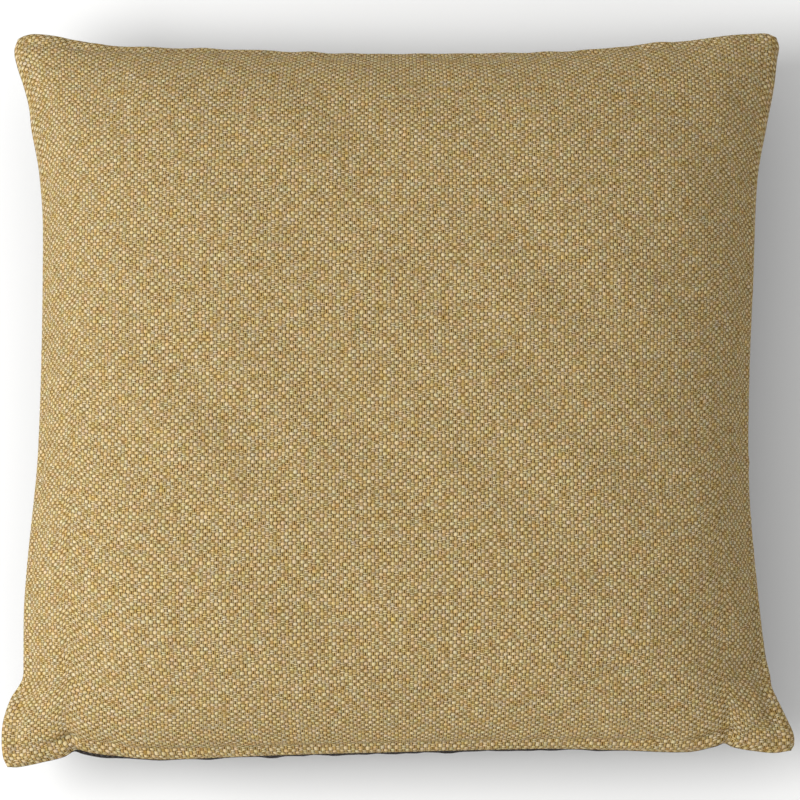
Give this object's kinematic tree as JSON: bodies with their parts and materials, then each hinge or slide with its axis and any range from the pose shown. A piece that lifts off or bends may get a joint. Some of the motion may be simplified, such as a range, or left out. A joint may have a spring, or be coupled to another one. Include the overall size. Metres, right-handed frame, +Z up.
{
  "type": "square cushion",
  "caption": "Square filled cushion with plain knife-edge seams, a light speckled plain-weave face and a dark cloth back, lying on its back.",
  "frame": {"origin": "on the surface the cushion lies on, under the middle of its bounding box", "axes": "+Z is up, out of the face; +Y runs to the edge that is at the top of the picture; +X is to the right in the picture"},
  "size_m": [0.4572, 0.442, 0.1232],
  "materials": {
    "face_cloth": "plain weave of straw weft over mustard-brown warp, matt, slightly slubby",
    "back_cloth": "dark melange weave of brown-black and grey yarn, matt"
  },
  "bodies": {
    "root": {"cushion": "face_cloth", "back_panel": "back_cloth"}
  },
  "joints": []
}
